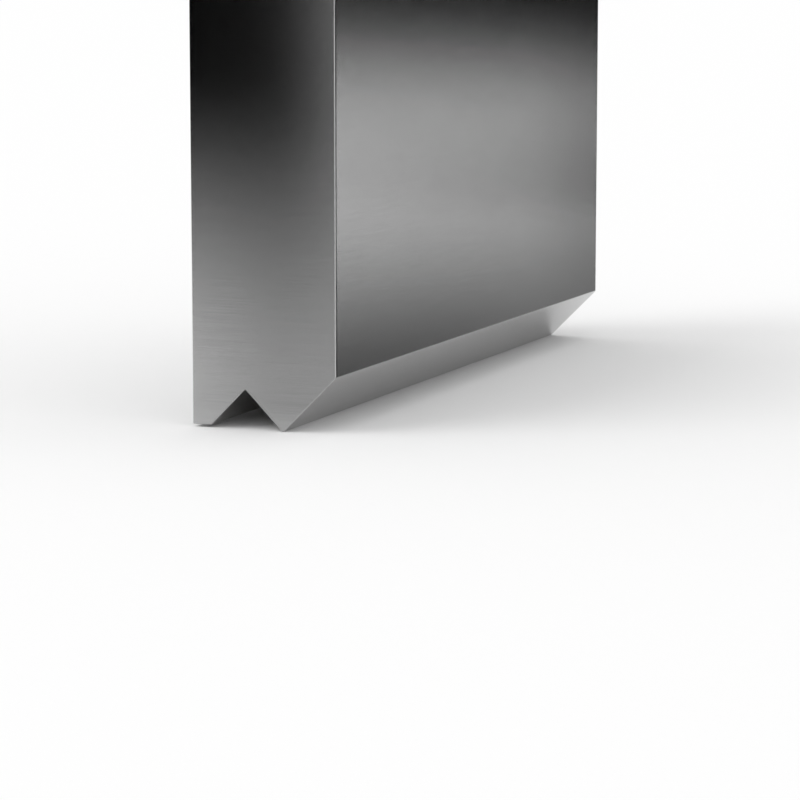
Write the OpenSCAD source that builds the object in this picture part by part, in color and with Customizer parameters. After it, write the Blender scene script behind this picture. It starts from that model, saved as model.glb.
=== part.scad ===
// Press brake punch for offset (Z) bends: one ground steel bar with the same section all along.
// Origin: middle of the length, on the centre line, at the level of the nose's lowest line.
// +X is the front, +Y runs along the bend, +Z points up to the tang.

/* [Body] */
// Length of the punch along the bend
punch_l = 200; // [50:1:500]
// Width of the body, back face to front face
body_w = 38; // [34:0.5:50]
// Working height, from the lowest line of the nose up to the shoulders
working_h = 120; // [60:1:160]

/* [Working edge] */
// Step of the offset: how far the nose lies in front of the bottom of the groove
step_w = 10; // [5:0.5:12]
// Slope of the three working flanks, from the horizontal
flank_a = 45; // [40:0.5:50]
// Height of the flat foot above the lowest line of the nose
foot_up = 0.65; // [0:0.05:3]
// Radius along the nose
nose_r = 0.5; // [0.2:0.1:1]
// Radius along the bottom of the groove
groove_r = 0.5; // [0.2:0.1:1]

/* [Tang] */
// Width of the tang that the press clamps
tang_w = 13; // [10:0.5:20]
// Height of the tang above the shoulders
tang_h = 30; // [24:1:40]
// Lead-in chamfer along the tang's two top edges
tang_c = 1; // [0.5:0.1:2]
// Radius in the inner corners of the tang's foot and of the safety slot
inner_r = 0.5; // [0.2:0.1:1]

/* [Safety slot] */
// Depth of the slot in the tang's front face
slot_d = 3.5; // [2:0.5:5]
// Height of the slot's upright floor
slot_h = 5; // [3:0.5:8]
// Height of the bottom of that floor above the shoulders
slot_up = 13; // [8:0.5:15]
// Slope of the slot's lower side, from the horizontal
slot_a = 45; // [30:1:60]

/* [Edges] */
// Break on the outer long edges and all round the two end faces
edge_c = 0.2; // [0.1:0.05:0.5]

/* [Hidden] */

// How a corner of the section is eased: left sharp, broken by one flat, or rounded in this many chords
SHARP = 0;
BREAK = 1;
ROUND = 8;
// How far the end face cutters reach past the solid
reach = 1;

half_w = body_w / 2;
half_step = step_w / 2;
half_tang = tang_w / 2;

// The nose's sharp corner lies below z = 0, so that its rounded tip touches z = 0
nose_z = nose_r * (1 - 1 / cos(flank_a));
groove_z = nose_z + step_w * tan(flank_a);
foot_x = -half_step - (groove_z - foot_up) / tan(flank_a);
front_z = nose_z + (half_w - half_step) * tan(flank_a);
slot_x = half_tang - slot_d;
slot_z = working_h + slot_up;
slot_mouth_z = slot_z - slot_d * tan(slot_a);
slot_top_z = slot_z + slot_h;
tang_z = working_h + tang_h;

// Corners of the section, anticlockwise with the front on the right: place, easing and its size
corners = [
    [-half_w, foot_up, BREAK, edge_c],
    [foot_x, foot_up, BREAK, edge_c],
    [-half_step, groove_z, ROUND, groove_r],
    [half_step, nose_z, ROUND, nose_r],
    [half_w, front_z, BREAK, edge_c],
    [half_w, working_h, BREAK, edge_c],
    [half_tang, working_h, ROUND, inner_r],
    [half_tang, slot_mouth_z, BREAK, edge_c],
    [slot_x, slot_z, ROUND, inner_r],
    [slot_x, slot_top_z, ROUND, inner_r],
    [half_tang, slot_top_z, BREAK, edge_c],
    [half_tang, tang_z - tang_c, SHARP, 0],
    [half_tang - tang_c, tang_z, SHARP, 0],
    [-half_tang + tang_c, tang_z, SHARP, 0],
    [-half_tang, tang_z - tang_c, SHARP, 0],
    [-half_tang, working_h, ROUND, inner_r],
    [-half_w, working_h, BREAK, edge_c],
];
count = len(corners);

function place(i) = let(c = corners[(i + count) % count]) [c[0], c[1]];
function run(i) = place(i + 1) - place(i);
function heading(i) = atan2(run(i)[1], run(i)[0]);
// Turn of the outline at a corner: positive where it sticks out, negative in an inner corner
function turn(i) = (heading(i) - heading(i - 1) + 540) % 360 - 180;
// How far the easing runs back along both sides of a corner
function ease(i) = corners[i][2] == ROUND ? corners[i][3] * tan(abs(turn(i)) / 2) : corners[i][3];

// Points of one corner: an arc tangent to both of its sides, in as many chords as its easing has
function corner_points(i) =
    corners[i][2] == SHARP ? [place(i)] :
    let (
        into = heading(i - 1),
        side = sign(turn(i)),
        radius = ease(i) / tan(abs(turn(i)) / 2),
        start = place(i) - ease(i) * [cos(into), sin(into)],
        centre = start + side * radius * [-sin(into), cos(into)]
    )
    [for (k = [0:corners[i][2]])
        let (a = into + turn(i) * k / corners[i][2])
        centre + side * radius * [sin(a), -cos(a)]];

outline = [for (i = [0:count - 1]) each corner_points(i)];

// One bar with the punch's section
module bar() {
    rotate([90, 0, 0])
        linear_extrude(height = punch_l, center = true)
            polygon(outline);
}

// Cutter that breaks one side of the far end face, run on past its two corners by the given lengths
module side_cut(i, before, after) {
    translate([place(i)[0], 0, place(i)[1]])
        rotate([0, -heading(i), 0])
            translate([-before, punch_l / 2, 0])
                rotate([90, 0, 90])
                    linear_extrude(height = before + norm(run(i)) + after)
                        polygon([
                            [-edge_c - reach, -reach],
                            [reach, -reach],
                            [reach, edge_c + reach],
                        ]);
}

// Cutters for the break all round the far end face. They run on past outer corners, and in
// an inner corner the two neighbours meet in a mitre.
module end_break() {
    for (i = [0:count - 1]) {
        before = turn(i) > 0 ? edge_c : 0;
        after = turn((i + 1) % count) > 0 ? edge_c : 0;
        side_cut(i, before, after);
        if (turn(i) < 0)
            intersection() {
                side_cut((i + count - 1) % count, 0, reach);
                side_cut(i, reach, 0);
            }
    }
}

module punch() {
    color("slategray")
        difference() {
            bar();
            end_break();
            mirror([0, 1, 0]) end_break();
        }
}

punch();
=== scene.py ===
"""Press brake punch for offset bends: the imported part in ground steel, on a plain pale floor."""

from math import cos, radians, sin

import bpy
import numpy as np
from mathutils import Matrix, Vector


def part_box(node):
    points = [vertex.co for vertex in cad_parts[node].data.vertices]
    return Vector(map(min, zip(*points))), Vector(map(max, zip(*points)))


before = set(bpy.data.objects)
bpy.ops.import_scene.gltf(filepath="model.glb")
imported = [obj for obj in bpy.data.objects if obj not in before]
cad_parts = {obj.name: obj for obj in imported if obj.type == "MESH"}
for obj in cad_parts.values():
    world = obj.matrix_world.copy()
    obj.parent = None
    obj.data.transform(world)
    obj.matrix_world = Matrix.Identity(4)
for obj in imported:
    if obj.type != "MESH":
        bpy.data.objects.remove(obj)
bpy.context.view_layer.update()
low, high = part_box("punch")

# ---------------------------------------------------------------------------------------------
# Camera. It stands low in front of one end, so that the end face shows the section of the
# working edge and the front face runs away behind it. The long lens keeps the edges near upright.
CAMERA_YAW = radians(21.66)
CAMERA_PITCH = radians(8.486)
CAMERA_DISTANCE = 0.85934
CAMERA_LENS = 141.68
CAMERA_AIM = Vector((-0.00412, 0.0, -0.00651))

look = Vector(
    (
        -sin(CAMERA_YAW) * cos(CAMERA_PITCH),
        cos(CAMERA_YAW) * cos(CAMERA_PITCH),
        -sin(CAMERA_PITCH),
    )
)
camera = bpy.data.objects.new("camera", bpy.data.cameras.new("camera"))
camera.data.lens = CAMERA_LENS
camera.location = CAMERA_AIM - CAMERA_DISTANCE * look
camera.rotation_euler = (radians(90) - CAMERA_PITCH, 0, CAMERA_YAW)
bpy.context.scene.collection.objects.link(camera)
bpy.context.scene.camera = camera


# ---------------------------------------------------------------------------------------------
# Punch. One bar of hardened tool steel, milled to its section and then ground: the long faces
# along the bend, the two end faces across it. The grinder leaves fine parallel scratches.
# Its edges are broken by hand with a stone, so each one is a little rounded.
EDGE_ROUND = 0.0001
STEEL_GREY = 0.48
STEEL_GREY_SPREAD = 0.04
STEEL_ROUGHNESS = 0.18
STEEL_ROUGHNESS_SPREAD = 0.01
SCRATCH_DEPTH = 3e-6
SCRATCHES_PER_METRE = 7000
SCRATCH_ENDS_PER_METRE = 50
CLOUDS_PER_METRE = 25
# A face whose normal has more of Y in it than this is an end face
END_FACE = 0.9


def add_node(tree, kind, inputs=None, **settings):
    """New node of this kind, its settings and its inputs: a value, or the socket that feeds it."""
    node = tree.nodes.new("ShaderNode" + kind)
    for name, value in settings.items():
        setattr(node, name, value)
    for name, value in (inputs or {}).items():
        if isinstance(value, bpy.types.NodeSocket):
            tree.links.new(value, node.inputs[name])
        else:
            node.inputs[name].default_value = value
    return node


def new_material(name):
    """An empty node material, with its output node."""
    material = bpy.data.materials.new(name)
    material.use_nodes = True
    material.node_tree.nodes.clear()
    return material, material.node_tree, add_node(material.node_tree, "OutputMaterial")


def ground_steel():
    """Satin steel whose scratches run along Y, and across on the faces that look along Y."""
    material, tree, output = new_material("ground_steel")
    place = add_node(tree, "TexCoord").outputs["Object"]
    marks = []
    fine, long = SCRATCHES_PER_METRE, SCRATCH_ENDS_PER_METRE
    for run in ((fine, long, fine), (long, fine, fine)):
        along = add_node(tree, "Mapping", {"Vector": place, "Scale": run})
        noise = add_node(tree, "TexNoise", {"Vector": along.outputs[0], "Scale": 1, "Detail": 3})
        marks.append(noise.outputs["Fac"])
    facing = add_node(tree, "SeparateXYZ", {0: add_node(tree, "NewGeometry").outputs["Normal"]})
    end = add_node(tree, "Math", {0: facing.outputs["Y"]}, operation="ABSOLUTE")
    on_end = add_node(tree, "Math", {0: end.outputs[0], 1: END_FACE}, operation="GREATER_THAN")
    scratch = add_node(tree, "Mix", {0: on_end.outputs[0], 2: marks[0], 3: marks[1]})
    stoned = add_node(tree, "Bevel", {"Radius": EDGE_ROUND}, samples=8)
    bump = add_node(
        tree,
        "Bump",
        {
            "Strength": 1.0,
            "Distance": SCRATCH_DEPTH,
            "Height": scratch.outputs[0],
            "Normal": stoned.outputs[0],
        },
    )
    cloud = add_node(tree, "TexNoise", {"Vector": place, "Scale": CLOUDS_PER_METRE, "Detail": 2})
    rough = add_node(
        tree,
        "MapRange",
        {
            "Value": cloud.outputs[0],
            "To Min": STEEL_ROUGHNESS - STEEL_ROUGHNESS_SPREAD,
            "To Max": STEEL_ROUGHNESS + STEEL_ROUGHNESS_SPREAD,
        },
    )
    tone = add_node(
        tree,
        "MapRange",
        {
            "Value": scratch.outputs[0],
            "From Min": 0.3,
            "From Max": 0.7,
            "To Min": STEEL_GREY - STEEL_GREY_SPREAD,
            "To Max": STEEL_GREY + STEEL_GREY_SPREAD,
        },
    )
    steel = add_node(
        tree,
        "BsdfPrincipled",
        {
            "Base Color": tone.outputs[0],
            "Metallic": 1.0,
            "Roughness": rough.outputs[0],
            "Normal": bump.outputs[0],
        },
    )
    tree.links.new(steel.outputs[0], output.inputs["Surface"])
    return material


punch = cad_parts["punch"]
punch.data.materials.clear()
punch.data.materials.append(ground_steel())


# ---------------------------------------------------------------------------------------------
# Floor and background. A studio's plain floor, painted matt white and without an end, in front of
# a plain white background. It lies a hair's breadth below the nose, so that the two never touch.
FLOOR_REACH = 30.0
FLOOR_PALE = 0.80
FLOOR_SEEN = 0.99
FLOOR_DROP = 0.00002


def flat_sheet(name, corner, side_u, side_v):
    """One flat sheet: corner + u * side_u + v * side_v, with u and v from 0 to 1."""
    u, v = np.meshgrid([0, 1], [0, 1], indexing="ij")
    points = np.add.outer(u * 0, corner) + np.multiply.outer(u, side_u) + np.multiply.outer(v, side_v)
    mesh = bpy.data.meshes.new(name)
    mesh.from_pydata(points.reshape(-1, 3).tolist(), [], [(0, 2, 3, 1)])
    sheet = bpy.data.objects.new(name, mesh)
    bpy.context.scene.collection.objects.link(sheet)
    return sheet


def seen(tree):
    """1 for what the camera, a mirror or glass sees, 0 for light that spreads from a surface."""
    path = add_node(tree, "LightPath").outputs
    mirrored = add_node(
        tree, "Math", {0: path["Is Camera Ray"], 1: path["Is Glossy Ray"]}, operation="MAXIMUM"
    )
    return add_node(
        tree,
        "Math",
        {0: mirrored.outputs[0], 1: path["Is Transmission Ray"]},
        operation="MAXIMUM",
    ).outputs[0]


def pale_floor():
    """Matt pale paint: near white where it is looked at, a little darker in the light it gives."""
    material, tree, output = new_material("pale_floor")
    white = add_node(
        tree, "MapRange", {"Value": seen(tree), "To Min": FLOOR_PALE, "To Max": FLOOR_SEEN}
    )
    paint = add_node(tree, "BsdfDiffuse", {"Color": white.outputs[0]})
    tree.links.new(paint.outputs[0], output.inputs["Surface"])
    return material


floor = flat_sheet(
    "floor",
    (-FLOOR_REACH, -FLOOR_REACH, low.z - FLOOR_DROP),
    (2 * FLOOR_REACH, 0, 0),
    (0, 2 * FLOOR_REACH, 0),
)
floor.data.materials.append(pale_floor())

BACKGROUND_SEEN = 1.0
BACKGROUND_LIGHT = 0.87
world = bpy.data.worlds.new("background")
world.use_nodes = True
bpy.context.scene.world = world
world.node_tree.nodes.clear()
strength = add_node(
    world.node_tree,
    "MapRange",
    {"Value": seen(world.node_tree), "To Min": BACKGROUND_LIGHT, "To Max": BACKGROUND_SEEN},
)
sky = add_node(
    world.node_tree, "Background", {"Color": (1, 1, 1, 1), "Strength": strength.outputs[0]}
)
world.node_tree.links.new(
    sky.outputs[0], add_node(world.node_tree, "OutputWorld").inputs["Surface"]
)


# ---------------------------------------------------------------------------------------------
# Lamp. One wide soft lamp high on the left, on the near end's side, so far off that it lights the
# floor evenly. All other light comes from the white background.
KEY_LIGHT = 0.6
KEY_SPREAD = radians(35)
KEY_TURN = (radians(30), radians(-35), 0)
key = bpy.data.objects.new("key_light", bpy.data.lights.new("key_light", "SUN"))
key.data.energy = KEY_LIGHT
key.data.angle = KEY_SPREAD
key.rotation_euler = KEY_TURN
bpy.context.scene.collection.objects.link(key)


# ---------------------------------------------------------------------------------------------
# Flags. Black cloths with soft edges that the camera does not see and only the steel mirrors:
# they give its flat faces their shading, and throw no shadow. Thin cloths that hang close to a face
# are veils. The narrow strip at the near end is no studio's tool: the steel mirrors it as a painted
# dark line along one edge.
def fade(axis, open_at, full_at, density=1.0):
    """One soft edge of a cloth: along this axis it thickens from nothing to its full density."""
    return axis, open_at, full_at, density


def flag_cloth(name, fades):
    """Black cloth, as dense as its fades multiplied with each other."""
    material, tree, output = new_material(name)
    place = add_node(tree, "SeparateXYZ", {0: add_node(tree, "TexCoord").outputs["Object"]})
    dense = None
    for axis, open_at, full_at, density in fades:
        part = add_node(
            tree,
            "MapRange",
            {
                "Value": place.outputs[axis],
                "From Min": open_at,
                "From Max": full_at,
                "To Max": density,
            },
            interpolation_type="SMOOTHSTEP",
        ).outputs[0]
        if dense is not None:
            part = add_node(tree, "Math", {0: dense, 1: part}, operation="MULTIPLY").outputs[0]
        dense = part
    black = add_node(tree, "BsdfDiffuse", {"Color": (0, 0, 0, 1)})
    gap = add_node(tree, "BsdfTransparent")
    cloth = add_node(tree, "MixShader", {0: dense, 1: gap.outputs[0], 2: black.outputs[0]})
    tree.links.new(cloth.outputs[0], output.inputs["Surface"])
    return material


def hang_flag(name, corner, side_u, side_v, *fades):
    """A flat cloth, from its corner along two sides, that only the steel mirrors."""
    flag = flat_sheet(name, corner, side_u, side_v)
    flag.data.materials.append(flag_cloth(name, fades))
    flag.visible_camera = False
    flag.visible_diffuse = False
    flag.visible_shadow = False
    flag.visible_transmission = False


# In front of the near end face: a flag that darkens its top left, and close to it a veil that dims
# it towards the right, as far as the edge break there.
FRONT_LEFT = -0.40
FRONT_WIDE = (0.50, 0, 0)
FLAG_HIGH = (0, 0, 0.25)
hang_flag(
    "front_flag",
    (FRONT_LEFT, low.y - 0.104, low.z),
    FRONT_WIDE,
    FLAG_HIGH,
    fade("Z", open_at=-0.015, full_at=0.080),
    fade("X", open_at=0.003, full_at=-0.042),
)
hang_flag(
    "front_veil",
    (FRONT_LEFT, low.y - 0.002, low.z),
    FRONT_WIDE,
    FLAG_HIGH,
    fade("Z", open_at=-0.003, full_at=0.007),
    fade("X", open_at=-0.042, full_at=0.008, density=0.42),
    fade("X", open_at=high.x + 0.0035, full_at=high.x - 0.0005),
)

# Far behind the punch, where its front face looks: a flag that darkens the top of that face, and
# a millimetre before it a veil that thins out to the right.
BACK_LEFT = -0.20
BACK_GAP = 0.412
BACK_WIDE = (0.80, 0, 0)
BACK_HIGH = (0, 0, 0.35)
hang_flag(
    "back_flag",
    (BACK_LEFT, high.y + BACK_GAP, low.z),
    BACK_WIDE,
    BACK_HIGH,
    fade("Z", open_at=0.038, full_at=0.089),
)
hang_flag(
    "back_veil",
    (BACK_LEFT, high.y + BACK_GAP - 0.001, low.z),
    BACK_WIDE,
    BACK_HIGH,
    fade("X", open_at=0.553, full_at=-0.117, density=0.80),
)

# Close to the front face: one veil that dims it downwards, and one that dims its far end.
SIDE_START = -0.30
SIDE_LONG = (0, 0.60, 0)
hang_flag(
    "side_veil",
    (high.x + 0.015, SIDE_START, low.z),
    SIDE_LONG,
    FLAG_HIGH,
    fade("Z", open_at=0.073, full_at=0.002, density=0.865),
    fade("Y", open_at=low.y - 0.003, full_at=low.y + 0.025),
    fade("Y", open_at=0.900, full_at=-0.210),
)
hang_flag(
    "far_veil",
    (high.x + 0.014, SIDE_START, low.z),
    SIDE_LONG,
    FLAG_HIGH,
    fade("Y", open_at=0.063, full_at=0.172, density=0.34),
    fade("Y", open_at=0.190, full_at=0.160),
)

# Beside the punch: they darken the tops of its two long sides for whoever faces them.
SIDE_FLAG_GAP = 0.100
hang_flag(
    "right_flag",
    (high.x + SIDE_FLAG_GAP, SIDE_START, low.z),
    (0, 0.45, 0),
    FLAG_HIGH,
    fade("Z", open_at=0.0, full_at=0.078),
    fade("Z", open_at=0.140, full_at=0.108),
    fade("Y", open_at=-0.150, full_at=-0.100),
    fade("Y", open_at=0.080, full_at=0.0),
)
hang_flag(
    "left_flag",
    (low.x - SIDE_FLAG_GAP, SIDE_START, low.z),
    (0, 0.90, 0),
    FLAG_HIGH,
    fade("Z", open_at=0.0, full_at=0.078),
    fade("Z", open_at=0.125, full_at=0.085),
    fade("Y", open_at=-0.240, full_at=-0.180),
)

# Overhead: it shades the shoulders and the top of the tang towards their far end.
hang_flag(
    "top_veil",
    (-0.35, -0.35, high.z + 0.30),
    (0.70, 0, 0),
    (0, 1.10, 0),
    fade("Y", open_at=-0.25, full_at=0.35, density=0.6),
    fade("Y", open_at=0.75, full_at=0.45),
    fade("X", open_at=-0.35, full_at=-0.05),
    fade("X", open_at=0.35, full_at=0.05),
)

# A strip, dark over less than a millimetre, 0.3 mm off the front face along its near upright edge:
# the steel mirrors it as a painted dark line beside that edge.
STRIP_WIDE = (0, 0.002, 0)
STRIP_HIGH = (0, 0, 0.15)
hang_flag(
    "edge_strip",
    (high.x + 0.0003, low.y, low.z),
    STRIP_WIDE,
    STRIP_HIGH,
    fade("Y", open_at=low.y + 0.0007, full_at=low.y + 0.0011, density=0.75),
    fade("Y", open_at=low.y + 0.0018, full_at=low.y + 0.0014),
)


# ---------------------------------------------------------------------------------------------
# Colours shown as they are written.
bpy.context.scene.view_settings.view_transform = "Standard"
